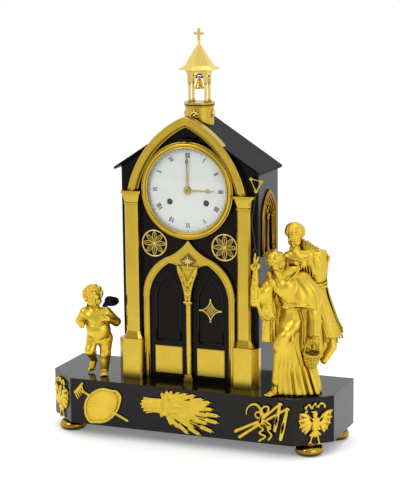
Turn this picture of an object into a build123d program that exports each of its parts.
from build123d import *
import os
from math import atan2, cos, degrees, hypot, radians, sin, sqrt, tan

# Gothic chapel mantel clock with a bell turret, a monk group and a winged child on a black plinth.
# Sizes in millimetres. X is to the viewer's right, Y runs to the back, Z is up, feet stand on Z = 0.

# Plinth and feet
PLINTH_WIDTH = 350.0
PLINTH_FRONT_WIDTH = 276.0
PLINTH_DEPTH = 111.0
PLINTH_HEIGHT = 54.0
PLINTH_CHAMFER = 34.0
PLINTH_SHELL = 5.0
FOOT_HEIGHT = 15.0
FOOT_DIAMETER = 29.0
MOUNT_RELIEF = 3.0
FRONT_Y = (MOUNT_RELIEF - PLINTH_DEPTH) / 2
BACK_Y = FRONT_Y + PLINTH_DEPTH
TOP_Z = FOOT_HEIGHT + PLINTH_HEIGHT

# Double door under an ogee and the bezel over it, both fitted between the feet of the pointed arch
ARCH_CLEAR = 60.3
DOOR_GAP = 3.9
DOOR_HALF = ARCH_CLEAR - DOOR_GAP
DOOR_TIP = 166.5
BEZEL_GAP = 4.1
BEZEL_RADIUS = ARCH_CLEAR - BEZEL_GAP
DIAL_RISE = DOOR_TIP + 1.6 + BEZEL_RADIUS

# Pointed arch and pilasters
ARCH_SPRING = DIAL_RISE - 2.8
ARCH_BAND = 12.2
ARCH_HALF = ARCH_CLEAR + ARCH_BAND
ARCH_SHARPNESS = 1.2138
ARCH_RISE = ARCH_HALF * ARCH_SHARPNESS
ARCH_CROWN_BAND = 11.5
PILASTER_INSET = 3.5
PILASTER_X = ARCH_HALF - PILASTER_INSET
SHAFT_FACE = 12.0
SHAFT_CHAMFER = 2.2
PEDESTAL_FACE = 21.8
PEDESTAL_CHAMFER = 6.5
PEDESTAL_DEPTH = 14.5
PEDESTAL_HEIGHT = 47.0
COLLAR_HEIGHT = 9.0
CAPITAL_HEIGHT = 14.0
CAPITAL_FACE = 20.0

# Chapel walls and roof
WALL_MARGIN = 15.0
CHAPEL_WIDTH = 2 * (PILASTER_X + WALL_MARGIN)
CHAPEL_DEPTH = 66.0
CHAPEL_SETBACK = 38.0
WALL = 3.0
SIDE_WALL = 6.0
EAVE_OVERHANG = 5.0
EAVE_WIDTH = CHAPEL_WIDTH + 2 * EAVE_OVERHANG
EAVE_RISE = ARCH_SPRING + 27.0
ROOF_PITCH = 33.0
ROOF_THICKNESS = 2.8
PORCH_DEPTH = 10.4
WALL_Y = FRONT_Y + CHAPEL_SETBACK
REAR_Y = WALL_Y + CHAPEL_DEPTH
PORCH_Y = WALL_Y - PORCH_DEPTH
SLOPE = tan(radians(ROOF_PITCH))
RIDGE_Z = TOP_Z + EAVE_RISE + EAVE_WIDTH / 2 * SLOPE

# Door surround
DOOR_JAMB = 7.2
DOOR_SPRING = 95.0
DOOR_DEPTH = 5.0
LEAF_DEPTH = 2.4
ROSETTE_RADIUS = 16.0
ROSETTE_INSET = 16.9
ROSETTE_X = ARCH_CLEAR - ROSETTE_INSET
ROSETTE_RISE = 160.3

# Side windows
WINDOW_HALF = 21.0
WINDOW_DROP = 25.5
WINDOW_LIGHT = 44.0
WINDOW_RISE = 26.0
WINDOW_SPRING = ARCH_SPRING - WINDOW_DROP
WINDOW_SILL = WINDOW_SPRING - WINDOW_LIGHT
WINDOW_APEX = WINDOW_SPRING + WINDOW_RISE
WINDOW_RECESS = 4.5

# Turret
TURRET_SETBACK = 35.0
DRUM_RADIUS = 16.6
DRUM_TOP = 319.7
BELFRY_TOP = 358.8
SKIRT_RADIUS = 24.4
SPIRE_RADIUS = 16.6
SPIRE_TOP = 387.0
CROSS_TOP = 405.4
CROSS_SPAN = 12.0
TURRET_Y = WALL_Y + TURRET_SETBACK

# Dial, hands and glazed bezel
BEZEL_BAND = 6.9
BEZEL_OPENING = BEZEL_RADIUS - BEZEL_BAND
DIAL_LAP = 1.1
DIAL_RADIUS = BEZEL_OPENING + DIAL_LAP
BEZEL_FRONT = 9.0
GLASS_DOME = 6.0
WINDING_X = 22.3
WINDING_DROP = 13.9
MINUTE_HAND_GAP = 8.3
MINUTE_HAND = BEZEL_OPENING - MINUTE_HAND_GAP
HOUR_HAND = MINUTE_HAND - 6.5
DIAL_Z = TOP_Z + DIAL_RISE

# Movement
PLATE_RADIUS = 46.0
BACK_PLATE_RADIUS = 40.5
PLATE_THICKNESS = 2.0
PLATE_GAP = 24.0
TUBE_RADIUS = 47.4
TUBE_BORE = 43.5
TUBE_DEPTH = 7.0
MODULE = 0.5
CANNON_TEETH = 14
MINUTE_WHEEL_TEETH = 42
MINUTE_PINION_TEETH = 12
HOUR_TEETH = 48
GREAT_TEETH = 64
PINION_TEETH = 12
SECOND_TEETH = 56
CENTRE_TEETH = 60
THIRD_PINION_TEETH = 10
THIRD_TEETH = 50
ESCAPE_RISE = 26.0
ESCAPE_RADIUS = 8.0
ARBOR = 1.0
FIT = 0.05
PENDULUM_LENGTH = 150.0
BOB_RADIUS = 18.0

FRONT_PLATE_Y = WALL_Y + TUBE_DEPTH
INSIDE_Y = FRONT_PLATE_Y + PLATE_THICKNESS
BACK_PLATE_Y = INSIDE_Y + PLATE_GAP
BEHIND_Y = BACK_PLATE_Y + PLATE_THICKNESS
DIAL_Y = WALL_Y - 2

# Figures: where each stands on the plinth
CUPID_INSET = 66.4
CUPID_X = CUPID_INSET - PLINTH_WIDTH / 2
CUPID_SETBACK = 26.5
MONK_INSET = 50.0
MONK_X = PLINTH_WIDTH / 2 - MONK_INSET
MONK_SETBACK = 32.0

os.makedirs("parts", exist_ok=True)


def keep(piece, name):
    """Label a finished piece and write its file."""
    piece.part.label = name
    export_step(piece.part, f"parts/{name}.step")


def front_plane(y):
    """Sketch plane seen from the front: local X is right, local Y is up, extrude comes forward."""
    return Plane(origin=(0, y, 0), x_dir=(1, 0, 0), z_dir=(0, -1, 0))


def rod_y(x, z, y0, y1, radius, mode=Mode.ADD):
    """Round rod along Y between two depths."""
    with Locations((x, y0, z)):
        Cylinder(radius, y1 - y0, rotation=(-90, 0, 0), mode=mode,
                 align=(Align.CENTER, Align.CENTER, Align.MIN))


def slab(x0, x1, y0, y1, z0, z1, mode=Mode.ADD):
    """Box given by its limits."""
    with Locations(((x0 + x1) / 2, (y0 + y1) / 2, (z0 + z1) / 2)):
        Box(x1 - x0, y1 - y0, z1 - z0, mode=mode)


def pointed(half, bottom, spring, apex, centre=0.0, mode=Mode.ADD):
    """Pointed window shape in the current sketch."""
    bow_x, bow_y = 0.674 * half, spring + 0.58 * (apex - spring)
    with BuildLine() as outline:
        Polyline((centre - half, spring), (centre - half, bottom), (centre + half, bottom),
                 (centre + half, spring))
        ThreePointArc((centre + half, spring), (centre + bow_x, bow_y), (centre, apex))
        ThreePointArc((centre, apex), (centre - bow_x, bow_y), (centre - half, spring))
    make_face(outline.edges(), mode=mode)


def toothed(teeth, phase, module=MODULE):
    """Gear outline in the current sketch, one tooth at the angle called phase, in degrees."""
    pitch = teeth * module / 2
    root, tip = pitch - 1.15 * module, pitch + 0.75 * module
    Circle(root)
    with PolarLocations(0, teeth, start_angle=phase):
        Polygon((root - 0.2, -0.75 * module), (root, -0.75 * module), (pitch, -0.55 * module),
                (tip, -0.22 * module), (tip, 0.22 * module), (pitch, 0.55 * module),
                (root, 0.75 * module), (root - 0.2, 0.75 * module), align=None)


def wheel(x, z, y, thick, teeth, phase, module=MODULE):
    """Toothed wheel whose front face lies at depth y, with its axis at (x, z)."""
    with BuildSketch(front_plane(y)) as outline:
        with Locations((x, z)):
            toothed(teeth, phase, module)
    extrude(outline.sketch, amount=-thick)


def facing(start, end):
    """Angle in degrees from one axis to another, seen from the front."""
    return degrees(atan2(end[1] - start[1], end[0] - start[0]))


def third_point(first, first_reach, second, second_reach, side):
    """Axis that lies at two given reaches from two others."""
    span = hypot(second[0] - first[0], second[1] - first[1])
    along = (first_reach**2 - second_reach**2 + span**2) / (2 * span)
    off = sqrt(first_reach**2 - along**2) * side
    ux, uz = (second[0] - first[0]) / span, (second[1] - first[1]) / span
    return (first[0] + ux * along - uz * off, first[1] + uz * along + ux * off)


def roof_z(x):
    """Height of the top of the roof at a distance from the ridge."""
    return RIDGE_Z - abs(x) * SLOPE


def limb(start, end, start_radius, end_radius):
    """Tapered round limb with a ball at its end."""
    reach = Vector(*end) - Vector(*start)
    with Locations(Plane(origin=start, z_dir=reach.normalized())):
        Cone(start_radius, end_radius, reach.length,
             align=(Align.CENTER, Align.CENTER, Align.MIN))
    with Locations(end):
        Sphere(end_radius)


def ball(centre, radius):
    """Ball at a point."""
    with Locations(centre):
        Sphere(radius)


# Plinth: hollow casting with both front corners cut back, four bosses for the feet
HALF_FRONT = PLINTH_FRONT_WIDTH / 2
HALF_PLINTH = PLINTH_WIDTH / 2
CORNER_RUN = HALF_PLINTH - HALF_FRONT
CORNER_LENGTH = hypot(CORNER_RUN, PLINTH_CHAMFER)
FOOT_INSET = 12.4
REAR_FOOT_INSET = 17.0
FRONT_FOOT_X = (HALF_PLINTH + HALF_FRONT) / 2 - FOOT_INSET * PLINTH_CHAMFER / CORNER_LENGTH
FRONT_FOOT_Y = FRONT_Y + PLINTH_CHAMFER / 2 + FOOT_INSET * CORNER_RUN / CORNER_LENGTH
FOOT_SPOTS = [
    (FRONT_FOOT_X, FRONT_FOOT_Y),
    (-FRONT_FOOT_X, FRONT_FOOT_Y),
    (HALF_PLINTH - REAR_FOOT_INSET, BACK_Y - REAR_FOOT_INSET),
    (REAR_FOOT_INSET - HALF_PLINTH, BACK_Y - REAR_FOOT_INSET),
]


def plinth_plan():
    """Plan of the plinth in the current sketch."""
    with BuildLine() as outline:
        Polyline((-HALF_FRONT, FRONT_Y), (HALF_FRONT, FRONT_Y), (HALF_PLINTH, FRONT_Y + PLINTH_CHAMFER),
                 (HALF_PLINTH, BACK_Y), (-HALF_PLINTH, BACK_Y), (-HALF_PLINTH, FRONT_Y + PLINTH_CHAMFER),
                 close=True)
    make_face(outline.edges())


with BuildPart() as plinth:
    with BuildSketch(Plane.XY.offset(FOOT_HEIGHT)):
        plinth_plan()
    extrude(amount=PLINTH_HEIGHT)
    with BuildSketch(Plane.XY.offset(FOOT_HEIGHT)):
        plinth_plan()
        offset(amount=-PLINTH_SHELL, kind=Kind.INTERSECTION)
    extrude(amount=PLINTH_HEIGHT - PLINTH_SHELL, mode=Mode.SUBTRACT)
    with BuildSketch(Plane.XY.offset(FOOT_HEIGHT)):
        with Locations(*FOOT_SPOTS):
            Circle(FOOT_DIAMETER * 0.36)
    extrude(amount=PLINTH_HEIGHT - PLINTH_SHELL)
    with BuildSketch(Plane.XY.offset(FOOT_HEIGHT)):
        with Locations(*FOOT_SPOTS):
            Circle(3.1)
    extrude(amount=20, mode=Mode.SUBTRACT)
keep(plinth, "plinth")

# Bun feet: a flattened ball, a small neck ring and a stud that enters the boss
bun = FOOT_DIAMETER / 2
with BuildPart() as foot:
    with BuildSketch(Plane.XZ):
        with BuildLine():
            Line((0, 0), (bun * 0.62, 0))
            ThreePointArc((bun * 0.62, 0), (bun, FOOT_HEIGHT * 0.38), (bun * 0.62, FOOT_HEIGHT * 0.76))
            Polyline((bun * 0.62, FOOT_HEIGHT * 0.76), (bun * 0.56, FOOT_HEIGHT * 0.8),
                     (bun * 0.7, FOOT_HEIGHT * 0.84), (bun * 0.7, FOOT_HEIGHT), (3, FOOT_HEIGHT),
                     (3, FOOT_HEIGHT + 18), (0, FOOT_HEIGHT + 18), (0, 0))
        make_face()
    revolve(axis=Axis.Z)
with BuildPart() as bun_feet:
    with Locations(*FOOT_SPOTS):
        add(foot.part)
keep(bun_feet, "bun_feet")

# Chapel walls
HALF_CHAPEL = CHAPEL_WIDTH / 2


def gable():
    """Gable outline under the roof in the current sketch."""
    with BuildLine() as outline:
        Polyline((-HALF_CHAPEL, TOP_Z), (HALF_CHAPEL, TOP_Z), (HALF_CHAPEL, roof_z(HALF_CHAPEL) - ROOF_THICKNESS),
                 (0, RIDGE_Z - ROOF_THICKNESS), (-HALF_CHAPEL, roof_z(HALF_CHAPEL) - ROOF_THICKNESS), close=True)
    make_face(outline.edges())


with BuildPart() as front_wall:
    with BuildSketch(front_plane(WALL_Y)):
        gable()
        with Locations((0, DIAL_Z)):
            Circle(TUBE_RADIUS + 0.1, mode=Mode.SUBTRACT)
    extrude(amount=-WALL)
keep(front_wall, "front_wall")

REAR_BORE = 45.0
with BuildPart() as rear_wall:
    with BuildSketch(front_plane(REAR_Y)):
        gable()
        with Locations((0, DIAL_Z)):
            Circle(REAR_BORE, mode=Mode.SUBTRACT)
    extrude(amount=WALL)
keep(rear_wall, "rear_wall")

WINDOW_Y = (WALL_Y + REAR_Y) / 2


def side_plane(x):
    """Sketch plane on a side wall: local X is depth from the window's middle, local Y is up."""
    return Plane(origin=(x, WINDOW_Y, TOP_Z), x_dir=(0, 1, 0), z_dir=(1, 0, 0))


def side_wall(side):
    """Side wall with a blind pointed window sunk in its outer face."""
    with BuildPart() as wall:
        slab(min(side * HALF_CHAPEL, side * (HALF_CHAPEL - SIDE_WALL)),
             max(side * HALF_CHAPEL, side * (HALF_CHAPEL - SIDE_WALL)),
             WALL_Y + WALL, REAR_Y - WALL, TOP_Z, roof_z(HALF_CHAPEL) - ROOF_THICKNESS)
        with BuildSketch(side_plane(side * HALF_CHAPEL)):
            pointed(WINDOW_HALF, WINDOW_SILL, WINDOW_SPRING, WINDOW_APEX)
        extrude(amount=-side * WINDOW_RECESS, mode=Mode.SUBTRACT)
    return wall


left_wall = side_wall(-1)
keep(left_wall, "left_wall")
right_wall = side_wall(1)
keep(right_wall, "right_wall")

# Window tracery: twin lancets, an eye, a middle colonnette and two jamb shafts, sunk in each wall
with BuildPart() as window_frames:
    for side in (-1, 1):
        sunk = side * (HALF_CHAPEL - WINDOW_RECESS)
        with BuildSketch(side_plane(sunk)):
            pointed(WINDOW_HALF - 0.2, WINDOW_SILL + 0.2, WINDOW_SPRING, WINDOW_APEX - 0.3)
            pointed(WINDOW_HALF * 0.4, WINDOW_SILL + 4, WINDOW_SPRING - 4, WINDOW_SPRING + 9,
                    centre=-WINDOW_HALF * 0.45, mode=Mode.SUBTRACT)
            pointed(WINDOW_HALF * 0.4, WINDOW_SILL + 4, WINDOW_SPRING - 4, WINDOW_SPRING + 9,
                    centre=WINDOW_HALF * 0.45, mode=Mode.SUBTRACT)
            with Locations((0, WINDOW_SPRING + 12)):
                Circle(4.2, mode=Mode.SUBTRACT)
        extrude(amount=side * 2.0)
        for offset_y in (0, -WINDOW_HALF * 0.9, WINDOW_HALF * 0.9):
            with Locations((sunk + side * 2.0, WINDOW_Y + offset_y, TOP_Z + WINDOW_SILL + 0.2)):
                Cylinder(1.7, WINDOW_SPRING - WINDOW_SILL - 4,
                         align=(Align.CENTER, Align.CENTER, Align.MIN))
keep(window_frames, "window_frames")


# Roof: two slabs that meet at the ridge, notched at the front round the pointed arch
def roof_panel(side):
    """One slope of the roof."""
    half = side * EAVE_WIDTH / 2
    with BuildPart() as panel:
        with BuildSketch(front_plane(PORCH_Y)):
            with BuildLine():
                Polyline((0, RIDGE_Z), (half, roof_z(half)), (half, roof_z(half) - ROOF_THICKNESS),
                         (0, RIDGE_Z - ROOF_THICKNESS), close=True)
            make_face()
        extrude(amount=PORCH_Y - REAR_Y - 0.5)
        with BuildSketch(front_plane(WALL_Y)):
            pointed(ARCH_HALF + 0.1, TOP_Z, TOP_Z + ARCH_SPRING, TOP_Z + ARCH_SPRING + ARCH_RISE + 0.2)
        extrude(amount=PORCH_DEPTH + 1, mode=Mode.SUBTRACT)
    return panel


roof_left = roof_panel(-1)
keep(roof_left, "roof_left")
roof_right = roof_panel(1)
keep(roof_right, "roof_right")

# Pointed arch over the dial: a moulded band with a stepped inner edge
SPRING_Z = TOP_Z + ARCH_SPRING
with BuildPart() as front_arch:
    with BuildSketch(front_plane(WALL_Y)):
        pointed(ARCH_HALF, SPRING_Z - 1, SPRING_Z, SPRING_Z + ARCH_RISE)
        pointed(ARCH_HALF - ARCH_BAND, SPRING_Z - 2, SPRING_Z, SPRING_Z + ARCH_RISE - ARCH_CROWN_BAND,
                mode=Mode.SUBTRACT)
    extrude(amount=PORCH_DEPTH)
    with BuildSketch(front_plane(PORCH_Y + 2.4)):
        pointed(ARCH_HALF - ARCH_BAND + 3, SPRING_Z - 2, SPRING_Z, SPRING_Z + ARCH_RISE - ARCH_CROWN_BAND + 3)
    extrude(amount=3, mode=Mode.SUBTRACT)
    slab(-ARCH_HALF - 2, ARCH_HALF + 2, PORCH_Y - 1, WALL_Y + 1, SPRING_Z - 3, SPRING_Z, mode=Mode.SUBTRACT)
keep(front_arch, "front_arch")


# Pilasters: chamfered shaft on a chamfered pedestal, flared capital under the arch
def pilaster_plan(side, face, chamfer, depth, inner_limit):
    """Half octagon against the wall, cut off on its inner side beside the door."""
    inner = PILASTER_X - face / 2 - chamfer
    outer = PILASTER_X + face / 2 + chamfer
    cut = max(inner, inner_limit)
    shoulder = WALL_Y - depth + chamfer - (cut - inner)
    with BuildLine() as outline:
        Polyline((side * cut, WALL_Y), (side * cut, shoulder),
                 (side * (PILASTER_X - face / 2), WALL_Y - depth),
                 (side * (PILASTER_X + face / 2), WALL_Y - depth),
                 (side * outer, WALL_Y - depth + chamfer), (side * outer, WALL_Y), close=True)
    make_face(outline.edges())


JAMB_LIMIT = DOOR_HALF + 0.3
COLLAR_Z = TOP_Z + PEDESTAL_HEIGHT
SHAFT_Z = COLLAR_Z + COLLAR_HEIGHT
CAPITAL_Z = SPRING_Z - CAPITAL_HEIGHT
with BuildPart() as pilasters:
    for side in (-1, 1):
        with BuildSketch(Plane.XY.offset(TOP_Z)):
            pilaster_plan(side, PEDESTAL_FACE, PEDESTAL_CHAMFER, PEDESTAL_DEPTH, JAMB_LIMIT)
        extrude(amount=PEDESTAL_HEIGHT)
        with BuildSketch(Plane.XY.offset(COLLAR_Z)):
            pilaster_plan(side, PEDESTAL_FACE - 6, PEDESTAL_CHAMFER - 3, PEDESTAL_DEPTH - 2, JAMB_LIMIT)
        with BuildSketch(Plane.XY.offset(SHAFT_Z)):
            pilaster_plan(side, SHAFT_FACE, SHAFT_CHAMFER, PORCH_DEPTH, JAMB_LIMIT)
        loft(ruled=True)
        with BuildSketch(Plane.XY.offset(SHAFT_Z)):
            pilaster_plan(side, SHAFT_FACE, SHAFT_CHAMFER, PORCH_DEPTH, JAMB_LIMIT)
        extrude(amount=CAPITAL_Z - SHAFT_Z)
        with BuildSketch(Plane.XY.offset(CAPITAL_Z - 1.6)):
            pilaster_plan(side, SHAFT_FACE + 1.2, SHAFT_CHAMFER, PORCH_DEPTH + 0.8, JAMB_LIMIT)
        extrude(amount=1.8)
        with BuildSketch(Plane.XY.offset(CAPITAL_Z)):
            pilaster_plan(side, SHAFT_FACE, SHAFT_CHAMFER, PORCH_DEPTH, JAMB_LIMIT)
        with BuildSketch(Plane.XY.offset(SPRING_Z - 3)):
            pilaster_plan(side, CAPITAL_FACE - 3, SHAFT_CHAMFER, PORCH_DEPTH + 1.6, JAMB_LIMIT)
        loft(ruled=True)
        with BuildSketch(Plane.XY.offset(SPRING_Z - 3)):
            pilaster_plan(side, CAPITAL_FACE, SHAFT_CHAMFER, PORCH_DEPTH + 2.4, JAMB_LIMIT)
        extrude(amount=3)
keep(pilasters, "pilasters")


# Door surround: ogee outside, two pointed bays inside, a middle mullion and a lozenge of tracery
def bay(side, gap, mode=Mode.ADD):
    """Opening of one door bay in the current sketch, drawn smaller by gap."""
    outer, inner = DOOR_HALF - DOOR_JAMB - gap, 3.0 + gap
    top = DOOR_SPRING - gap
    with BuildLine() as outline:
        Polyline((side * inner, DOOR_SPRING + 9), (side * inner, 0.0), (side * outer, 0.0), (side * outer, top))
        ThreePointArc((side * outer, top), (side * (outer - 8), top + 27), (side * 24, 138.6 - gap))
        ThreePointArc((side * 24, 138.6 - gap), (side * 17, 137.4 - gap), (side * (11.5 + gap), 133.5 - gap))
        ThreePointArc((side * (11.5 + gap), 133.5 - gap), (side * (6.0 + gap), 120.0),
                      (side * inner, DOOR_SPRING + 9))
    make_face(outline.edges(), mode=mode)


door_face = Plane(origin=(0, WALL_Y, TOP_Z), x_dir=(1, 0, 0), z_dir=(0, -1, 0))
with BuildPart() as door_arch:
    with BuildSketch(door_face):
        with BuildLine():
            Polyline((-DOOR_HALF, DOOR_SPRING), (-DOOR_HALF, 0), (DOOR_HALF, 0), (DOOR_HALF, DOOR_SPRING))
            for side in (-1, 1):
                shoulder = (side * 22.5, 147.2)
                ThreePointArc((side * DOOR_HALF, DOOR_SPRING), (side * DOOR_HALF * 0.7535, 134.5), shoulder)
                ThreePointArc(shoulder, (side * 10.2, 155.4), (0, DOOR_TIP))
        make_face()
        bay(-1, 0.0, Mode.SUBTRACT)
        bay(1, 0.0, Mode.SUBTRACT)
    extrude(amount=DOOR_DEPTH)
    with BuildSketch(door_face.offset(DOOR_DEPTH - 0.5)):
        with Locations((0, 142.5)):
            Polygon((10.8, 0), (0, 9.3), (-10.8, 0), (0, -9.3), align=None)
            Circle(4.4, mode=Mode.SUBTRACT)
    extrude(amount=1.7)
keep(door_arch, "door_arch")

# Middle column of the door: base, round shaft, ring and a spreading leaf capital, applied to the mullion
COLUMN_FRONT = DOOR_DEPTH
with BuildPart() as door_column:
    with BuildSketch(door_face.offset(COLUMN_FRONT)):
        Rectangle(11, 5, align=(Align.CENTER, Align.MIN))
    extrude(amount=4.6)
    with BuildSketch(door_face.offset(COLUMN_FRONT)):
        with Locations((0, 5)):
            Rectangle(9, 3.5, align=(Align.CENTER, Align.MIN))
    extrude(amount=3.8)
    with Locations((0, WALL_Y - COLUMN_FRONT, TOP_Z + 8)):
        Cylinder(3.4, 92, arc_size=180, rotation=(0, 0, 180), align=(Align.CENTER, Align.NONE, Align.MIN))
    with Locations((0, WALL_Y - COLUMN_FRONT, TOP_Z + 92.5)):
        Cylinder(4.7, 3.4, arc_size=180, rotation=(0, 0, 180), align=(Align.CENTER, Align.NONE, Align.MIN))
    with BuildSketch(door_face.offset(COLUMN_FRONT)):
        with BuildLine():
            Line((-3.4, 97), (3.4, 97))
            ThreePointArc((3.4, 97), (6.4, 116), (12.6, 129))
            ThreePointArc((12.6, 129), (0, 132.8), (-12.6, 129))
            ThreePointArc((-12.6, 129), (-6.4, 116), (-3.4, 97))
        make_face()
    extrude(amount=2.6)
keep(door_column, "door_column")

# Door leaves: black, each with a sunk pointed panel
LEAF_X = 26.2
with BuildPart() as door_leaves:
    for side in (-1, 1):
        with BuildSketch(door_face):
            bay(side, 0.15)
        extrude(amount=LEAF_DEPTH)
        with BuildSketch(door_face.offset(LEAF_DEPTH)):
            pointed(15.5, 46, 98, 126, centre=side * LEAF_X)
        extrude(amount=-1.0, mode=Mode.SUBTRACT)
keep(door_leaves, "door_leaves")

with BuildPart() as kick_plates:
    for side in (-1, 1):
        with BuildSketch(door_face.offset(LEAF_DEPTH)):
            with Locations((side * LEAF_X, 23.7)):
                Rectangle(33.8, 32.4)
        extrude(amount=1.2)
        with BuildSketch(door_face.offset(LEAF_DEPTH + 1.2)):
            with Locations((side * LEAF_X, 23.7)):
                Rectangle(27, 25.6)
        extrude(amount=-0.6, mode=Mode.SUBTRACT)
keep(kick_plates, "kick_plates")

# Lattice lozenge on the right leaf, with a ball at each corner
with BuildPart() as door_lozenge:
    with BuildSketch(door_face.offset(LEAF_DEPTH - 1)):
        with Locations((LEAF_X, 85.5)):
            for turn in (45, -45):
                for shift in (-5.6, 0, 5.6):
                    with Locations(Location((shift * cos(radians(turn + 90)), shift * sin(radians(turn + 90))))):
                        Rectangle(16.5, 1.6, rotation=turn)
            with PolarLocations(10.6, 4):
                Circle(1.7)
    extrude(amount=2.2)
keep(door_lozenge, "door_lozenge")

with BuildPart() as rosettes:
    with BuildSketch(door_face):
        with Locations((-ROSETTE_X, ROSETTE_RISE), (ROSETTE_X, ROSETTE_RISE)):
            Circle(ROSETTE_RADIUS)
        for side in (-1, 1):
            with Locations((side * ROSETTE_X, ROSETTE_RISE)):
                with PolarLocations(ROSETTE_RADIUS * 0.54, 8):
                    Ellipse(ROSETTE_RADIUS * 0.31, ROSETTE_RADIUS * 0.085, mode=Mode.SUBTRACT)
                with PolarLocations(ROSETTE_RADIUS * 0.7, 8, start_angle=22.5):
                    Circle(ROSETTE_RADIUS * 0.12, mode=Mode.SUBTRACT)
    extrude(amount=2.2)
    with BuildSketch(door_face):
        with Locations((-ROSETTE_X, ROSETTE_RISE), (ROSETTE_X, ROSETTE_RISE)):
            Circle(ROSETTE_RADIUS * 0.19)
    extrude(amount=3)
keep(rosettes, "rosettes")

# Turret drum, saddled on the ridge, with a thin gallery disc
with BuildPart() as turret_drum:
    with Locations((0, TURRET_Y, TOP_Z + DRUM_TOP)):
        Cylinder(DRUM_RADIUS, TOP_Z + DRUM_TOP - RIDGE_Z + 20, align=(Align.CENTER, Align.CENTER, Align.MAX))
        Cylinder(DRUM_RADIUS + 1.4, 2.0, align=(Align.CENTER, Align.CENTER, Align.MIN))
    with BuildSketch(front_plane(TURRET_Y - 30)):
        with BuildLine():
            Polyline((0, RIDGE_Z), (40, roof_z(40)), (40, RIDGE_Z - 60), (-40, RIDGE_Z - 60),
                     (-40, roof_z(40)), close=True)
        make_face()
    extrude(amount=-60, mode=Mode.SUBTRACT)
keep(turret_drum, "turret_drum")

# Belfry: four slender columns that carry a ring of arches
BELFRY_X = 10.4
BELFRY_Y = 6.0
BELFRY_Z = TOP_Z + DRUM_TOP + 2.0
ARCADE_Z = TOP_Z + BELFRY_TOP - 14.5
with BuildPart() as belfry:
    slab(-BELFRY_X - 1.8, BELFRY_X + 1.8, TURRET_Y - BELFRY_Y - 1.8, TURRET_Y + BELFRY_Y + 1.8,
         ARCADE_Z, TOP_Z + BELFRY_TOP)
    slab(1.9 - BELFRY_X, BELFRY_X - 1.9, TURRET_Y - BELFRY_Y + 1.7, TURRET_Y + BELFRY_Y - 1.7,
         ARCADE_Z - 1, TOP_Z + BELFRY_TOP + 1, mode=Mode.SUBTRACT)
    with BuildSketch(front_plane(TURRET_Y - 20)):
        pointed(BELFRY_X - 2.2, ARCADE_Z - 1, ARCADE_Z, ARCADE_Z + 11.5)
    extrude(amount=-40, mode=Mode.SUBTRACT)
    with BuildSketch(Plane(origin=(-20, TURRET_Y, 0), x_dir=(0, 1, 0), z_dir=(1, 0, 0))):
        pointed(BELFRY_Y - 2.2, ARCADE_Z - 1, ARCADE_Z, ARCADE_Z + 9)
    extrude(amount=40, mode=Mode.SUBTRACT)
    for column_x in (-BELFRY_X, BELFRY_X):
        for column_y in (TURRET_Y - BELFRY_Y, TURRET_Y + BELFRY_Y):
            with Locations((column_x, column_y, BELFRY_Z)):
                Cylinder(1.5, ARCADE_Z - BELFRY_Z + 1, align=(Align.CENTER, Align.CENTER, Align.MIN))
                Cylinder(2.2, 1.6, align=(Align.CENTER, Align.CENTER, Align.MIN))
keep(belfry, "belfry")

# Turret roof: six-sided spire with a flared skirt, one corner to the front
with BuildPart() as turret_roof:
    roof_at = TOP_Z + BELFRY_TOP
    for rise, radius in ((0.0, SKIRT_RADIUS), (0.9, SKIRT_RADIUS)):
        with BuildSketch(Plane.XY.offset(roof_at + rise)):
            with Locations((0, TURRET_Y)):
                RegularPolygon(radius, 6, rotation=90)
    loft(ruled=True)
    for rise, radius in ((0.9, SKIRT_RADIUS), (4.6, SPIRE_RADIUS)):
        with BuildSketch(Plane.XY.offset(roof_at + rise)):
            with Locations((0, TURRET_Y)):
                RegularPolygon(radius, 6, rotation=90)
    loft(ruled=True)
    for rise, radius in ((4.6, SPIRE_RADIUS), (SPIRE_TOP - BELFRY_TOP, 2.4)):
        with BuildSketch(Plane.XY.offset(roof_at + rise)):
            with Locations((0, TURRET_Y)):
                RegularPolygon(radius, 6, rotation=90)
    loft(ruled=True)
keep(turret_roof, "turret_roof")

# Cross on a small baluster
CROSS_Z = TOP_Z + SPIRE_TOP
ARM_Z = TOP_Z + CROSS_TOP - 5.9
with BuildPart() as turret_cross:
    with Locations((0, TURRET_Y, CROSS_Z)):
        Cone(2.0, 1.2, 2.2, align=(Align.CENTER, Align.CENTER, Align.MIN))
    ball((0, TURRET_Y, CROSS_Z + 3.6), 2.0)
    slab(-1.4, 1.4, TURRET_Y - 1.1, TURRET_Y + 1.1, CROSS_Z + 4, TOP_Z + CROSS_TOP)
    slab(-CROSS_SPAN / 2, CROSS_SPAN / 2, TURRET_Y - 1.1, TURRET_Y + 1.1, ARM_Z - 1.4, ARM_Z + 1.4)
keep(turret_cross, "turret_cross")

# Bell yoke: iron hoop hung from the turret roof, with the pin the bell swings on
PIN_Z = TOP_Z + BELFRY_TOP - 9.4
with BuildPart() as bell_yoke:
    with BuildSketch(front_plane(TURRET_Y - 0.9)):
        with Locations((0, PIN_Z)):
            Circle(4.4)
            Circle(3.0, mode=Mode.SUBTRACT)
            with Locations((0, -5)):
                Rectangle(12, 8, mode=Mode.SUBTRACT)
    extrude(amount=-1.8)
    with Locations((0, TURRET_Y, PIN_Z + 3.7)):
        Cylinder(1.0, TOP_Z + BELFRY_TOP - PIN_Z - 3.7, align=(Align.CENTER, Align.CENTER, Align.MIN))
    with Locations((0, TURRET_Y, PIN_Z)):
        Cylinder(0.6, 7.6, rotation=(0, 90, 0))
keep(bell_yoke, "bell_yoke")

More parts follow.
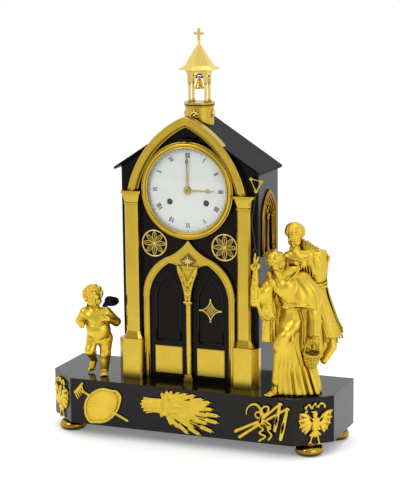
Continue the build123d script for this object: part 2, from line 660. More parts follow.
with BuildPart() as bell_shape:
    with BuildSketch(Plane.XZ):
        with BuildLine():
            Line((0, 7.2), (1.6, 7.2))
            ThreePointArc((1.6, 7.2), (2.5, 4.6), (4.2, 0))
            Polyline((4.2, 0), (3.4, 0), (1.6, 5.4), (0, 5.8), (0, 7.2))
        make_face()
    revolve(axis=Axis.Z)
    with BuildSketch(Plane.YZ.offset(-0.9)):
        with Locations((0, 8.6)):
            Circle(1.6)
    extrude(amount=1.8)
    with Locations((0, 0, 8.6)):
        Cylinder(0.66, 4, rotation=(0, 90, 0), mode=Mode.SUBTRACT)
with BuildPart() as turret_bell:
    with Locations((0, TURRET_Y, PIN_Z - 8.6)):
        add(bell_shape.part)
keep(turret_bell, "turret_bell")

with BuildPart() as bell_clapper:
    with Locations((0, TURRET_Y, PIN_Z - 8.6 + 5.4)):
        Cylinder(0.4, 4.6, align=(Align.CENTER, Align.CENTER, Align.MAX))
    ball((0, TURRET_Y, PIN_Z - 8.6 + 0.6), 1.1)
keep(bell_clapper, "bell_clapper")

# Bell crank on the front wall and the pull wire down to the monk's finger
CRANK_Y = WALL_Y - 5
CRANK_X = HALF_CHAPEL - 6.4
CRANK_EYES = [(CRANK_X, ARCH_SPRING + 19.5), (CRANK_X + 11.8, ARCH_SPRING + 16.9), (CRANK_X + 5.8, ARCH_SPRING + 5.9)]
WIRE_X = PILASTER_X + 13.4
with BuildPart() as bell_crank:
    with BuildSketch(front_plane(CRANK_Y)):
        with Locations((0, TOP_Z)):
            Polygon(*CRANK_EYES, align=None)
            offset(amount=0.9)
            Polygon(*CRANK_EYES, align=None, mode=Mode.SUBTRACT)
            with Locations(*CRANK_EYES):
                Circle(1.9)
    extrude(amount=1.5)
    rod_y(CRANK_EYES[0][0], TOP_Z + CRANK_EYES[0][1], CRANK_Y - 1, WALL_Y, 1.3)
keep(bell_crank, "bell_crank")

MONK = Vector(MONK_X, FRONT_Y + MONK_SETBACK, TOP_Z)
CUPID = Vector(CUPID_X, FRONT_Y + CUPID_SETBACK, TOP_Z)


def on_monk(x, y, z):
    """Point of the monk group from its stand on the plinth."""
    return (MONK.X + x, MONK.Y + y, MONK.Z + z)


def on_cupid(x, y, z):
    """Point of the child from its stand on the plinth."""
    return (CUPID.X + x, CUPID.Y + y, CUPID.Z + z)


FINGER_TIP = on_monk(-33.6, -25.8, 161.0)
WIRE_TOP = (CRANK_EYES[2][0], CRANK_Y - 0.75, TOP_Z + CRANK_EYES[2][1] - 2.1)
RING_Z = FINGER_TIP[2] + 4.2
WIRE_BEND = 12.0
with BuildPart() as pull_wire:
    with BuildLine() as wire_path:
        FilletPolyline(WIRE_TOP, (WIRE_X + 0.2, WALL_Y - 11, SPRING_Z - 10.5), (WIRE_X, WALL_Y - 18, SPRING_Z - 26.5),
                       (WIRE_X + 6.2, WALL_Y - 27, SPRING_Z - 43.5), (FINGER_TIP[0], FINGER_TIP[1], RING_Z + 2.3),
                       radius=WIRE_BEND)
    with BuildSketch(Plane(origin=WIRE_TOP, z_dir=wire_path.line % 0)):
        Circle(0.45)
    sweep()
    with Locations((FINGER_TIP[0], FINGER_TIP[1], RING_Z)):
        Torus(1.9, 0.5, rotation=(90, 0, 0))
keep(pull_wire, "pull_wire")


# Figures. Robes are lofted ovals, limbs are tapered rods, heads are balls.
def oval(place, across, along, turn):
    """Level oval section of a robe."""
    with BuildSketch(Plane(origin=place, x_dir=(cos(radians(turn)), sin(radians(turn)), 0), z_dir=(0, 0, 1))) as level:
        Ellipse(across, along)
    return level.sketch


def trim_below(level):
    """Cut the current piece flat where it stands."""
    slab(-HALF_PLINTH, HALF_PLINTH, FRONT_Y - 50, BACK_Y + 50, level - 60, level, mode=Mode.SUBTRACT)


with BuildPart() as monk:
    loft([
        oval(on_monk(5, 3, 0), 27, 16, 22),
        oval(on_monk(1.5, -1.5, 30), 22, 16, 22),
        oval(on_monk(-1, -2.5, 62), 18, 14.5, 22),
        oval(on_monk(0, -1, 97), 16, 13, 22),
        oval(on_monk(-4, -3, 122), 19, 13.5, 22),
        oval(on_monk(-8, -8, 136), 13, 10, 22),
    ])
    ball(on_monk(-7.5, -7, 137), 10)
    ball(on_monk(-12.5, -15.2, 151.5), 10.8)
    ball(on_monk(-9.5, -9.5, 153), 11.8)
    ball(on_monk(7.8, 6, 124), 13)
    ball(on_monk(-19, -10.5, 125), 9.5)
    limb(on_monk(-19, -10.5, 125), on_monk(-34, -23.5, 118), 9.5, 7.6)
    limb(on_monk(-34, -23.5, 118), on_monk(-35, -26.2, 141), 7.6, 3.6)
    limb(on_monk(-35, -26.2, 141), on_monk(-35.4, -26.6, 150), 3.6, 4.2)
    limb(on_monk(-35.2, -26.4, 150), FINGER_TIP, 2.0, 1.3)
    limb(on_monk(-35, -23.5, 116), on_monk(-31.5, -20.5, 97), 7.4, 6.4)
    limb(on_monk(-31.5, -20.5, 97), on_monk(-23, -14, 93), 6.4, 6.2)
    limb(on_monk(-18, -8, 108), on_monk(-26.5, 1.5, 63), 8.0, 6.6)
    limb(on_monk(10, 6, 124), on_monk(23.5, 4, 88), 12, 8.4)
    limb(on_monk(23.5, 4, 88), on_monk(26.6, -4, 69), 8.4, 5.4)
    limb(on_monk(26.6, -4, 69), on_monk(27, -8.5, 61), 4.6, 4.0)
    limb(on_monk(-2, -6, 80), on_monk(-8.5, -14.5, 57), 13, 9.0)
    limb(on_monk(-8.5, -14.5, 57), on_monk(-14, -11, 12), 9.0, 9.4)
    limb(on_monk(-13, -12, 4), on_monk(-16.5, -22.5, 3.2), 4.4, 3.8)
    trim_below(TOP_Z)
keep(monk, "monk")

with BuildPart() as maiden:
    ball(on_monk(0.9, 13.5, 178.5), 12.4)
    limb(on_monk(1.2, 13.5, 168), on_monk(4, 14, 152), 7.5, 11.5)
    limb(on_monk(4, 14, 152), on_monk(12, 21, 118), 11.5, 14)
    limb(on_monk(12, 21, 118), on_monk(24, 29, 62), 14, 10)
    limb(on_monk(24, 29, 62), on_monk(30.5, 32, 36), 7, 4.6)
    limb(on_monk(30.5, 32, 36), on_monk(31.5, 26, 28), 4.6, 3.4)
    limb(on_monk(30.5, 32, 38), on_monk(35.5, 32, 33), 4.4, 3.2)
    add(monk.part, mode=Mode.SUBTRACT)
keep(maiden, "maiden")

with BuildPart() as straw_sheaf:
    loft([
        oval(on_monk(13, 28, 172), 7, 6, 22),
        oval(on_monk(18, 30, 152), 15, 11, 22),
        oval(on_monk(17, 29, 120), 16, 12.5, 22),
        oval(on_monk(27, 33, 74), 18, 14, 22),
        oval(on_monk(31, 35, 56), 14, 12, 22),
        oval(on_monk(29, 34, 45), 8, 7, 22),
    ])
    add(monk.part, mode=Mode.SUBTRACT)
    add(maiden.part, mode=Mode.SUBTRACT)
keep(straw_sheaf, "straw_sheaf")

BASKET = on_monk(27, -9, 31.5)
with BuildPart() as alms_basket:
    with Locations(BASKET):
        Cone(7.4, 9.2, 17, align=(Align.CENTER, Align.CENTER, Align.MIN))
    with Locations((BASKET[0], BASKET[1], BASKET[2] + 1.5)):
        Cone(6, 7.8, 17, align=(Align.CENTER, Align.CENTER, Align.MIN), mode=Mode.SUBTRACT)
    with BuildSketch(Plane(origin=(BASKET[0], BASKET[1] - 0.9, BASKET[2] + 16), x_dir=(1, 0, 0), z_dir=(0, -1, 0))):
        Circle(9.2)
        Circle(7.4, mode=Mode.SUBTRACT)
        with Locations((0, -6)):
            Rectangle(24, 12, mode=Mode.SUBTRACT)
    extrude(amount=-1.8)
    add(monk.part, mode=Mode.SUBTRACT)
keep(alms_basket, "alms_basket")

with BuildPart() as cupid:
    ball(on_cupid(-7.4, -4.4, 95.5), 12.4)
    limb(on_cupid(-7.4, -2.8, 88), on_cupid(-7.4, -2.4, 76), 5.2, 7.5)
    limb(on_cupid(-7, -2, 70), on_cupid(-4, -2.2, 53), 12.2, 10.8)
    limb(on_cupid(-4, -2.2, 53), on_cupid(-4, -1, 42), 10.8, 11.6)
    ball(on_cupid(-7, -2, 70), 12.2)
    ball(on_cupid(-17.5, -6.4, 75.5), 5.6)
    limb(on_cupid(-17.5, -6.4, 75.5), on_cupid(-24, -6, 64.5), 5.6, 4.4)
    limb(on_cupid(-24, -6, 64.5), on_cupid(-18.5, -17, 62.5), 4.4, 3.6)
    ball(on_cupid(-17.7, -18.5, 62.5), 4.4)
    ball(on_cupid(4.4, 2.4, 74.5), 5.6)
    limb(on_cupid(4.4, 2.4, 74.5), on_cupid(14, 7, 62.5), 5.6, 4.4)
    limb(on_cupid(14, 7, 62.5), on_cupid(9.8, -6.5, 68.6), 4.4, 3.4)
    ball(on_cupid(8.6, -8.6, 70.4), 3.8)
    limb(on_cupid(0.5, 0.6, 41), on_cupid(2.6, -2.6, 25.5), 9.0, 6.6)
    limb(on_cupid(2.6, -2.6, 25.5), on_cupid(3.2, -0.6, 6.5), 6.4, 4.2)
    limb(on_cupid(3.2, -0.8, 3.4), on_cupid(5.4, -9, 2.6), 3.9, 3.1)
    limb(on_cupid(-10, -2.4, 41), on_cupid(-9.6, -9.6, 28.5), 8.8, 6.6)
    limb(on_cupid(-9.6, -9.6, 28.5), on_cupid(-13.6, 6, 13), 6.2, 4.0)
    limb(on_cupid(-13.6, 6, 13), on_cupid(-15.6, 2.4, 3), 3.8, 3.0)
    trim_below(TOP_Z)
keep(cupid, "cupid")

with BuildPart() as cupid_wings:
    for root_x, side in ((0.5, 1), (-12.5, -1)):
        with BuildSketch(Plane(origin=on_cupid(root_x, 9.2, 80), x_dir=(side * 0.78, 0.62, 0),
                               z_dir=(0.62, -side * 0.78, 0))):
            with BuildLine():
                ThreePointArc((-2, -5), (-3, 3), (1, 9))
                ThreePointArc((1, 9), (9, 10.5), (21, 1))
                ThreePointArc((21, 1), (12, -3), (-2, -5))
            make_face()
        extrude(amount=1.3, both=True)
    add(cupid.part, mode=Mode.SUBTRACT)
keep(cupid_wings, "cupid_wings")

# Gilt mounts on the plinth: a sheaf in the middle, a winnowing basket and rake on the left,
# flails, a sickle and a ribbon on the right. Heights are measured down from the plinth's top.
mount_face = Plane(origin=(0, FRONT_Y, TOP_Z), x_dir=(1, 0, 0), z_dir=(0, -1, 0))


def bar(start, end, width):
    middle = ((start[0] + end[0]) / 2, (start[1] + end[1]) / 2)
    run, rise = end[0] - start[0], end[1] - start[1]
    with Locations(middle):
        Rectangle(hypot(run, rise), width, rotation=degrees(atan2(rise, run)))


with BuildPart() as wheat_mount:
    with BuildSketch(mount_face):
        Polygon((-43, -16), (-49, -20), (-49, -28), (-42, -33), (-17, -31), (-22.5, -36), (-11, -34.5),
                (-8.5, -44), (-4, -37), (0, -46), (6, -40), (12.5, -52.5), (18, -45), (27, -52), (31, -45),
                (43, -47.5), (42, -38), (50, -35), (45, -30.5), (51.5, -27), (43, -22), (36, -17),
                (41, -11), (31, -13), (26, -9), (20, -5), (15, -11), (11, -4), (5, -10.5), (-4, -11),
                (-8.5, -3), (-10.5, -10), (-14, -3), (-16, -10), (-20.5, -6), (-18, -12.5), (-33.5, -13),
                align=None)
    extrude(amount=MOUNT_RELIEF - 0.6)
    with BuildSketch(mount_face):
        with Locations((-16, -22)):
            Rectangle(7, 20)
    extrude(amount=MOUNT_RELIEF)
keep(wheat_mount, "wheat_mount")

with BuildPart() as tool_mounts:
    with BuildSketch(mount_face):
        with Locations((-96, -29.5)):
            Ellipse(22.4, 20.4, rotation=28)
        for ear in ((-77.5, -14.5), (-112, -46)):
            with Locations(ear):
                Circle(4.4)
        bar((-122, -13.5), (-65, -44), 3.4)
        Polygon((-131, -15.5), (-121, -4), (-116.5, -10), (-128, -25), align=None)
    extrude(amount=MOUNT_RELIEF - 0.5)
    with BuildSketch(mount_face):
        bar((70.5, -42), (123, -5.7), 3.6)
        bar((75.5, -48), (132, -10), 3.6)
        bar((123.5, -5.7), (117.5, -37), 4.4)
        bar((132, -10.5), (124, -46), 4.8)
        bar((100, -28), (112, -35), 4.2)
        bar((101, -14), (101, -48), 4.4)
        with Locations((92.5, -18)):
            Circle(9.4)
            Circle(5.6, mode=Mode.SUBTRACT)
            with Locations((-6, -9)):
                Rectangle(10, 9, mode=Mode.SUBTRACT)
    extrude(amount=MOUNT_RELIEF - 0.5)
keep(tool_mounts, "tool_mounts")

# Birds with spread wings on the cut corners
with BuildPart() as bird_mounts:
    for side in (-1, 1):
        corner = Plane(origin=(side * (HALF_PLINTH + HALF_FRONT) / 2, FRONT_Y + PLINTH_CHAMFER / 2, TOP_Z - 27),
                       x_dir=(CORNER_RUN, side * PLINTH_CHAMFER, 0),
                       z_dir=(side * PLINTH_CHAMFER, -CORNER_RUN, 0))
        with BuildSketch(corner):
            with Locations((1, -3)):
                Ellipse(5.4, 14)
            with Locations((0.6, 9.5)):
                Circle(3.6)
            for wing in (-1, 1):
                with BuildLine():
                    Polyline((wing * 3.4, 1), (wing * 8.6, -0.5), (wing * 19, 10.5))
                    ThreePointArc((wing * 19, 10.5), (wing * 18.4, -2.5), (wing * 12, -13.5))
                    Polyline((wing * 12, -13.5), (wing * 4, -10), (wing * 3.4, 1))
                make_face()
                bar((wing * 2.6, -13), (wing * 3.6, -24.5), 2.6)
                bar((wing * 0.5, 12), (wing * 11.5, 18), 3.2)
        extrude(amount=MOUNT_RELIEF - 0.5)
keep(bird_mounts, "bird_mounts")

# Movement ring, dial and glazed bezel. The bezel hangs from a hinge at the top of the ring.
HINGE_Z = DIAL_Z + BEZEL_RADIUS + 1.9
HINGE_Y = WALL_Y - BEZEL_FRONT + 0.6
HINGE_PIN = 0.7
with BuildPart() as movement_ring:
    with BuildSketch(front_plane(WALL_Y)):
        with Locations((0, DIAL_Z)):
            Circle(BEZEL_RADIUS - 1.2)
            Circle(TUBE_BORE, mode=Mode.SUBTRACT)
    extrude(amount=2)
    with BuildSketch(front_plane(WALL_Y)):
        with Locations((0, DIAL_Z)):
            Circle(TUBE_RADIUS)
            Circle(TUBE_BORE, mode=Mode.SUBTRACT)
    extrude(amount=-TUBE_DEPTH)
    for low in (-9.0, 3.2):
        slab(low, low + 5.8, HINGE_Y, WALL_Y, HINGE_Z - 0.9, HINGE_Z + 0.9)
        slab(low, low + 5.8, WALL_Y - 2, WALL_Y, DIAL_Z + BEZEL_RADIUS - 3, HINGE_Z + 0.9)
        with Locations((low, HINGE_Y, HINGE_Z)):
            Cylinder(1.5, 5.8, rotation=(0, 90, 0), align=(Align.CENTER, Align.CENTER, Align.MIN))
    with Locations((0, HINGE_Y, HINGE_Z)):
        Cylinder(HINGE_PIN, 40, rotation=(0, 90, 0), mode=Mode.SUBTRACT)
keep(movement_ring, "movement_ring")

with BuildPart() as dial:
    with BuildSketch(front_plane(DIAL_Y)):
        with Locations((0, DIAL_Z)):
            Circle(DIAL_RADIUS)
            Circle(3.4, mode=Mode.SUBTRACT)
        with Locations((-WINDING_X, DIAL_Z - WINDING_DROP), (WINDING_X, DIAL_Z - WINDING_DROP)):
            Circle(3.6, mode=Mode.SUBTRACT)
    extrude(amount=1.5)
keep(dial, "dial")

BEZEL_Y = WALL_Y - BEZEL_FRONT
LIP = 2.6
with BuildPart() as bezel:
    with BuildSketch(Plane.XZ):
        with BuildLine():
            Polyline((BEZEL_OPENING, LIP), (BEZEL_OPENING, 1.2), (BEZEL_OPENING + 1.2, 0.5))
            ThreePointArc((BEZEL_OPENING + 1.2, 0.5), (BEZEL_OPENING + 3.4, 0.0), (BEZEL_RADIUS - 0.8, 2.2))
            Polyline((BEZEL_RADIUS - 0.8, 2.2), (BEZEL_RADIUS, 3.2), (BEZEL_RADIUS, 6.6), (BEZEL_OPENING + 2.3, 6.6),
                     (BEZEL_OPENING + 2.3, LIP), (BEZEL_OPENING, LIP))
        make_face()
    revolve(axis=Axis.Z)
with BuildPart() as bezel_set:
    with Locations(Location((0, BEZEL_Y, DIAL_Z), (-90, 0, 0))):
        add(bezel.part)
    slab(-2.8, 2.8, HINGE_Y - 0.6, HINGE_Y + 3.4, DIAL_Z + BEZEL_RADIUS - 1.2, HINGE_Z)
    with Locations((0, HINGE_Y, HINGE_Z)):
        Cylinder(1.5, 5.6, rotation=(0, 90, 0))
        Cylinder(HINGE_PIN + FIT, 8, rotation=(0, 90, 0), mode=Mode.SUBTRACT)
    rod_y(0, DIAL_Z, BEZEL_Y - 1, BEZEL_Y + 20, BEZEL_OPENING, mode=Mode.SUBTRACT)
keep(bezel_set, "bezel")

# Glass: shallow dome with a flat rim, held behind the lip of the bezel
GLASS = 1.4
GLASS_Y = BEZEL_Y + LIP
DOME_REACH = BEZEL_OPENING - 1
DOME_RADIUS = (DOME_REACH**2 + GLASS_DOME**2) / (2 * GLASS_DOME)
with BuildPart() as bezel_glass:
    rod_y(0, DIAL_Z, GLASS_Y - GLASS_DOME - 1, GLASS_Y + GLASS, DOME_REACH)
    with Locations((0, GLASS_Y - GLASS_DOME + DOME_RADIUS, DIAL_Z)):
        Sphere(DOME_RADIUS, mode=Mode.INTERSECT)
        Sphere(DOME_RADIUS - GLASS, mode=Mode.SUBTRACT)
    with BuildSketch(front_plane(GLASS_Y)):
        with Locations((0, DIAL_Z)):
            Circle(BEZEL_OPENING + 2.2)
            Circle(DOME_REACH - 0.4, mode=Mode.SUBTRACT)
    extrude(amount=-GLASS)
keep(bezel_glass, "bezel_glass")

# Movement plates. The back plate carries the pillars and the suspension cock.
CENTRE = (0.0, DIAL_Z)
GOING = (WINDING_X, DIAL_Z - WINDING_DROP)
STRIKE = (-WINDING_X, DIAL_Z - WINDING_DROP)
SECOND = third_point(CENTRE, MODULE * (SECOND_TEETH + PINION_TEETH) / 2, GOING,
                     MODULE * (GREAT_TEETH + PINION_TEETH) / 2, 1)
ESCAPE = (0.0, DIAL_Z + ESCAPE_RISE)
THIRD = third_point(CENTRE, MODULE * (CENTRE_TEETH + THIRD_PINION_TEETH) / 2, ESCAPE,
                    MODULE * (THIRD_TEETH + THIRD_PINION_TEETH) / 2, 1)
PALLET = (0.0, DIAL_Z + ESCAPE_RISE + ESCAPE_RADIUS * 1.41)
MOTION_REACH = 15.0
MOTION = (-MOTION_REACH * cos(radians(55)), DIAL_Z + MOTION_REACH * sin(radians(55)))
CANNON_MODULE = 2 * MOTION_REACH / (CANNON_TEETH + MINUTE_WHEEL_TEETH)
HOUR_MODULE = 2 * MOTION_REACH / (MINUTE_PINION_TEETH + HOUR_TEETH)
HAMMER = (20.0, DIAL_Z - 33.0)
WINDING_ARBOR = 2.2
PILLAR_ANGLES = (20, 160, 250, 290)
ARBORS = (SECOND, THIRD, ESCAPE, PALLET, HAMMER)

with BuildPart() as front_plate:
    rod_y(0, DIAL_Z, FRONT_PLATE_Y, INSIDE_Y, PLATE_RADIUS)
    for place in ARBORS + (CENTRE,):
        rod_y(place[0], place[1], FRONT_PLATE_Y - 1, INSIDE_Y + 1, ARBOR + FIT, Mode.SUBTRACT)
    for place in (GOING, STRIKE):
        rod_y(place[0], place[1], FRONT_PLATE_Y - 1, INSIDE_Y + 1, WINDING_ARBOR + FIT, Mode.SUBTRACT)
    rod_y(MOTION[0], MOTION[1], FRONT_PLATE_Y - 5.6, FRONT_PLATE_Y, ARBOR)
keep(front_plate, "front_plate")

COCK_Z = PALLET[1] + 4.4
with BuildPart() as back_plate:
    rod_y(0, DIAL_Z, BACK_PLATE_Y, BEHIND_Y, BACK_PLATE_RADIUS)
    for place in ARBORS + (CENTRE,):
        rod_y(place[0], place[1], BACK_PLATE_Y - 1, BEHIND_Y + 1, ARBOR + FIT, Mode.SUBTRACT)
    for place in (GOING, STRIKE):
        rod_y(place[0], place[1], BACK_PLATE_Y - 1, BEHIND_Y + 1, WINDING_ARBOR + FIT, Mode.SUBTRACT)
    for angle in PILLAR_ANGLES:
        rod_y(37 * cos(radians(angle)), DIAL_Z + 37 * sin(radians(angle)), INSIDE_Y, BACK_PLATE_Y, 2.5)
    slab(-7, 7, BACK_PLATE_Y, BEHIND_Y, PALLET[1] + 2, COCK_Z + 1.8)
    slab(-7, 7, BEHIND_Y, BEHIND_Y + 9, COCK_Z, COCK_Z + 1.8)
    slab(-3, 3, BEHIND_Y + 7.4, BEHIND_Y + 9, PALLET[1] - 2.5, COCK_Z)
    rod_y(PALLET[0], PALLET[1], BEHIND_Y + 4.2, BEHIND_Y + 7.5, ARBOR)
keep(back_plate, "back_plate")

# Great wheel planes and the rest of the train
GREAT_Y = INSIDE_Y + 1.5
SECOND_Y = BACK_PLATE_Y - 4.2
CENTRE_Y = BACK_PLATE_Y - 2.4


def winding_barrel(place, phase):
    """Spring barrel with its toothed rim and a squared winding arbor."""
    with BuildPart() as drum:
        wheel(place[0], place[1], GREAT_Y, 1.6, GREAT_TEETH, phase)
        rod_y(place[0], place[1], GREAT_Y + 1.6, SECOND_Y - 1.2, MODULE * GREAT_TEETH / 2 - 1.6)
        rod_y(place[0], place[1], DIAL_Y + 4, BEHIND_Y - 0.4, WINDING_ARBOR)
        slab(place[0] - 1.5, place[0] + 1.5, DIAL_Y - 1.0, DIAL_Y + 4, place[1] - 1.5, place[1] + 1.5)
    return drum


going_barrel = winding_barrel(GOING, facing(GOING, SECOND))
keep(going_barrel, "going_barrel")
strike_barrel = winding_barrel(STRIKE, 0)
keep(strike_barrel, "strike_barrel")

with BuildPart() as second_wheel:
    rod_y(SECOND[0], SECOND[1], FRONT_PLATE_Y + 0.3, BEHIND_Y - 0.3, ARBOR)
    wheel(SECOND[0], SECOND[1], GREAT_Y - 0.4, 2.6, PINION_TEETH, facing(SECOND, GOING) + 180 / PINION_TEETH)
    wheel(SECOND[0], SECOND[1], SECOND_Y, 1.0, SECOND_TEETH, facing(SECOND, CENTRE))
keep(second_wheel, "second_wheel")

PIPE = 1.7
with BuildPart() as centre_arbor:
    rod_y(0, DIAL_Z, DIAL_Y - 4.6, FRONT_PLATE_Y - 0.3, PIPE)
    rod_y(0, DIAL_Z, FRONT_PLATE_Y - 0.4, BEHIND_Y - 0.3, ARBOR)
    wheel(0, DIAL_Z, SECOND_Y - 0.5, 1.7, PINION_TEETH, facing(CENTRE, SECOND) + 180 / PINION_TEETH)
    wheel(0, DIAL_Z, CENTRE_Y, 1.0, CENTRE_TEETH, facing(CENTRE, THIRD))
    wheel(0, DIAL_Z, FRONT_PLATE_Y - 2.4, 2.0, CANNON_TEETH, facing(CENTRE, MOTION), CANNON_MODULE)
keep(centre_arbor, "centre_arbor")

with BuildPart() as third_wheel:
    rod_y(THIRD[0], THIRD[1], FRONT_PLATE_Y + 0.3, BEHIND_Y - 0.3, ARBOR)
    wheel(THIRD[0], THIRD[1], CENTRE_Y - 0.6, 2.2, THIRD_PINION_TEETH,
          facing(THIRD, CENTRE) + 180 / THIRD_PINION_TEETH)
    wheel(THIRD[0], THIRD[1], GREAT_Y, 1.0, THIRD_TEETH, facing(THIRD, ESCAPE))
keep(third_wheel, "third_wheel")

ESCAPE_Y = INSIDE_Y + 11
with BuildPart() as escape_wheel:
    rod_y(ESCAPE[0], ESCAPE[1], FRONT_PLATE_Y + 0.3, BEHIND_Y - 0.3, ARBOR)
    wheel(ESCAPE[0], ESCAPE[1], GREAT_Y - 0.6, 2.2, THIRD_PINION_TEETH,
          facing(ESCAPE, THIRD) + 180 / THIRD_PINION_TEETH)
    with BuildSketch(front_plane(ESCAPE_Y)):
        with Locations(ESCAPE):
            Circle(ESCAPE_RADIUS - 1.6)
            with PolarLocations(0, 30):
                Polygon((ESCAPE_RADIUS - 1.8, -0.5), (ESCAPE_RADIUS - 1.8, 0.5), (ESCAPE_RADIUS, 0.5), align=None)
    extrude(amount=-1.2)
keep(escape_wheel, "escape_wheel")

# Anchor, its arbor and the crutch behind the back plate
with BuildPart() as anchor:
    rod_y(PALLET[0], PALLET[1], FRONT_PLATE_Y + 0.3, BEHIND_Y + 3.0, ARBOR)
    with BuildSketch(front_plane(ESCAPE_Y)):
        with Locations(PALLET):
            Circle(2.2)
            Polygon((-8.6, -3.4), (-8.6, -5.8), (-7.2, -5.8), (-6.6, -3.2), (0, -0.8), (6.6, -3.2), (7.2, -5.8),
                    (8.6, -5.8), (8.6, -3.4), (0, 1.8), align=None)
    extrude(amount=-1.2)
    slab(-1.2, 1.2, BEHIND_Y + 1.2, BEHIND_Y + 3.0, PALLET[1] - 44, PALLET[1])
    rod_y(PALLET[0], PALLET[1] - 42, BEHIND_Y + 2.0, BEHIND_Y + 4.5, 0.9)
keep(anchor, "anchor")

ROD_Y = BEHIND_Y + 4.5
with BuildPart() as pendulum:
    rod_y(PALLET[0], PALLET[1], ROD_Y, ROD_Y + 2, 2.4)
    slab(-1.4, 1.4, ROD_Y, ROD_Y + 2, PALLET[1] - PENDULUM_LENGTH - BOB_RADIUS - 8, PALLET[1])
    rod_y(PALLET[0], PALLET[1], ROD_Y - 1, ROD_Y + 3, ARBOR + FIT, Mode.SUBTRACT)
keep(pendulum, "pendulum")

BOB_THICKNESS = 8.0
BOB_CURVE = (BOB_RADIUS**2 + BOB_THICKNESS**2 / 4) / BOB_THICKNESS
BOB_Z = PALLET[1] - PENDULUM_LENGTH
with BuildPart() as pendulum_bob:
    with Locations((0, ROD_Y + 1 + BOB_CURVE - BOB_THICKNESS / 2, BOB_Z)):
        Sphere(BOB_CURVE)
    with Locations((0, ROD_Y + 1 - BOB_CURVE + BOB_THICKNESS / 2, BOB_Z)):
        Sphere(BOB_CURVE, mode=Mode.INTERSECT)
    add(pendulum.part, mode=Mode.SUBTRACT)
keep(pendulum_bob, "pendulum_bob")

# Motion work: minute wheel with its pinion, hour wheel with its pipe
CANNON_Y = FRONT_PLATE_Y - 2.0
HOUR_Y = FRONT_PLATE_Y - 4.6
with BuildPart() as minute_wheel:
    wheel(MOTION[0], MOTION[1], CANNON_Y, 1.2, MINUTE_WHEEL_TEETH,
          facing(MOTION, CENTRE) + 180 / MINUTE_WHEEL_TEETH, CANNON_MODULE)
    wheel(MOTION[0], MOTION[1], HOUR_Y - 0.4, 3.4, MINUTE_PINION_TEETH,
          facing(MOTION, CENTRE), HOUR_MODULE)
    rod_y(MOTION[0], MOTION[1], FRONT_PLATE_Y - 9, FRONT_PLATE_Y, ARBOR + FIT, Mode.SUBTRACT)
keep(minute_wheel, "minute_wheel")

with BuildPart() as hour_wheel:
    wheel(0, DIAL_Z, HOUR_Y, 1.2, HOUR_TEETH, facing(CENTRE, MOTION) + 180 / HOUR_TEETH, HOUR_MODULE)
    rod_y(0, DIAL_Z, DIAL_Y - 2.9, HOUR_Y + 1.2, 2.7)
    rod_y(0, DIAL_Z, DIAL_Y - 9, FRONT_PLATE_Y, PIPE + FIT, Mode.SUBTRACT)
keep(hour_wheel, "hour_wheel")


# Hands: slender, with an open ring near the tip. Shown at three o'clock.
def hand(length, ring_at, ring, width, hub, bore, y, turn):
    """One hand in the plane at depth y, turned clockwise from twelve."""
    with BuildPart() as shape:
        with BuildSketch(Plane(origin=(0, y, DIAL_Z), x_dir=(cos(radians(turn)), 0, -sin(radians(turn))),
                               z_dir=(0, -1, 0))):
            Circle(hub)
            Polygon((-width, 0), (width, 0), (width * 0.55, ring_at), (-width * 0.55, ring_at), align=None)
            with Locations((0, ring_at)):
                Circle(ring)
            Polygon((-width * 0.8, ring_at), (width * 0.8, ring_at), (0, length), align=None)
            with Locations((0, ring_at)):
                Circle(ring * 0.58, mode=Mode.SUBTRACT)
            Circle(bore, mode=Mode.SUBTRACT)
        extrude(amount=0.7)
    return shape


hour_hand = hand(HOUR_HAND, HOUR_HAND * 0.72, 2.3, 1.0, 4.6, 2.7, DIAL_Y - 2.1, 90)
keep(hour_hand, "hour_hand")
minute_hand = hand(MINUTE_HAND, MINUTE_HAND * 0.8, 2.0, 0.95, 3.6, PIPE, DIAL_Y - 3.3, 0)
keep(minute_hand, "minute_hand")

# Strike bell on its post behind the movement, and the hammer
GONG = (14.0, DIAL_Z - 4.0)
GONG_RIM_Y = BEHIND_Y + 10.5
GONG_POST = 2.6
with BuildPart() as gong_shape:
    with BuildSketch(Plane.XZ):
        with BuildLine():
            ThreePointArc((24.6, 0), (18, 9.5), (GONG_POST, 13))
            Line((GONG_POST, 13), (GONG_POST, 11.4))
            ThreePointArc((GONG_POST, 11.4), (16.8, 8.2), (23, 0))
            Line((23, 0), (24.6, 0))
        make_face()
    revolve(axis=Axis.Z)
with BuildPart() as gong_bell:
    with Locations(Location((GONG[0], GONG_RIM_Y, GONG[1]), (-90, 0, 0))):
        add(gong_shape.part)
    rod_y(GONG[0], GONG[1], BEHIND_Y, GONG_RIM_Y + 13, GONG_POST)
keep(gong_bell, "gong_bell")

HEAD_ANGLE = radians(-62)
HEAD = (GONG[0] + 28.8 * cos(HEAD_ANGLE), GONG[1] + 28.8 * sin(HEAD_ANGLE))
with BuildPart() as hammer:
    rod_y(HAMMER[0], HAMMER[1], FRONT_PLATE_Y + 0.3, GONG_RIM_Y + 3.4, ARBOR)
    with BuildSketch(front_plane(GONG_RIM_Y + 1.4)):
        with Locations(HAMMER):
            Circle(2.4)
            with Locations(Location(((HEAD[0] - HAMMER[0]) / 2, (HEAD[1] - HAMMER[1]) / 2))):
                Rectangle(hypot(HEAD[0] - HAMMER[0], HEAD[1] - HAMMER[1]), 1.8, rotation=facing(HAMMER, HEAD))
        with Locations(HEAD):
            Circle(3.2)
    extrude(amount=-2.4)
keep(hammer, "hammer")

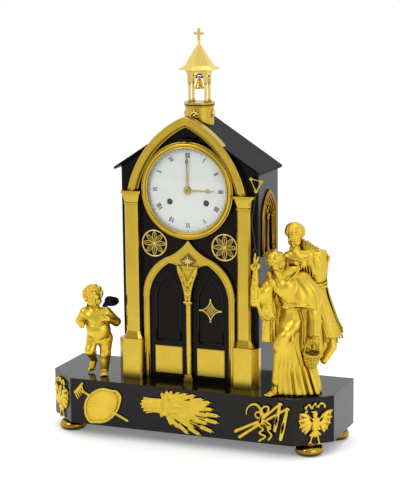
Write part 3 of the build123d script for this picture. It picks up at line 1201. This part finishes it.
# Rear ring, its two tie rods and the hinged rear door
RING_TUBE_Y = REAR_Y - 7
ROD_REACH = 43.2
REAR_HINGE_X = 52.0
REAR_HINGE_Y = REAR_Y + 3.4
with BuildPart() as rear_ring:
    with BuildSketch(front_plane(REAR_Y)):
        with Locations((0, DIAL_Z)):
            Circle(50)
            Circle(41.5, mode=Mode.SUBTRACT)
    extrude(amount=-2)
    with BuildSketch(front_plane(REAR_Y)):
        with Locations((0, DIAL_Z)):
            Circle(REAR_BORE - 0.1)
            Circle(41.5, mode=Mode.SUBTRACT)
    extrude(amount=7)
    for low in (-9.0, 3.2):
        slab(45, REAR_HINGE_X + 1.5, REAR_Y, REAR_Y + 2, DIAL_Z + low, DIAL_Z + low + 5.8)
        slab(REAR_HINGE_X - 1.5, REAR_HINGE_X + 1.5, REAR_Y, REAR_HINGE_Y, DIAL_Z + low, DIAL_Z + low + 5.8)
        with Locations((REAR_HINGE_X, REAR_HINGE_Y, DIAL_Z + low)):
            Cylinder(1.5, 5.8, align=(Align.CENTER, Align.CENTER, Align.MIN))
    with Locations((REAR_HINGE_X, REAR_HINGE_Y, DIAL_Z)):
        Cylinder(HINGE_PIN, 40, mode=Mode.SUBTRACT)
keep(rear_ring, "rear_ring")

with BuildPart() as tie_rods:
    for rod_x in (-ROD_REACH, ROD_REACH):
        rod_y(rod_x, DIAL_Z, INSIDE_Y, RING_TUBE_Y, 1.6)
keep(tie_rods, "tie_rods")

with BuildPart() as rear_door:
    rod_y(0, DIAL_Z, REAR_Y + 2.4, REAR_Y + 4.0, 48)
    slab(44, REAR_HINGE_X, REAR_Y + 2.4, REAR_Y + 4.0, DIAL_Z - 2.8, DIAL_Z + 2.8)
    with Locations((REAR_HINGE_X, REAR_HINGE_Y, DIAL_Z)):
        Cylinder(1.5, 5.6)
        Cylinder(HINGE_PIN + FIT, 8, mode=Mode.SUBTRACT)
    rod_y(-42, DIAL_Z, REAR_Y + 4.0, REAR_Y + 6.6, 2.4)
keep(rear_door, "rear_door")

with BuildPart() as hinge_pins:
    with Locations((0, HINGE_Y, HINGE_Z)):
        Cylinder(HINGE_PIN, 18, rotation=(0, 90, 0))
    with Locations((REAR_HINGE_X, REAR_HINGE_Y, DIAL_Z)):
        Cylinder(HINGE_PIN, 18)
keep(hinge_pins, "hinge_pins")
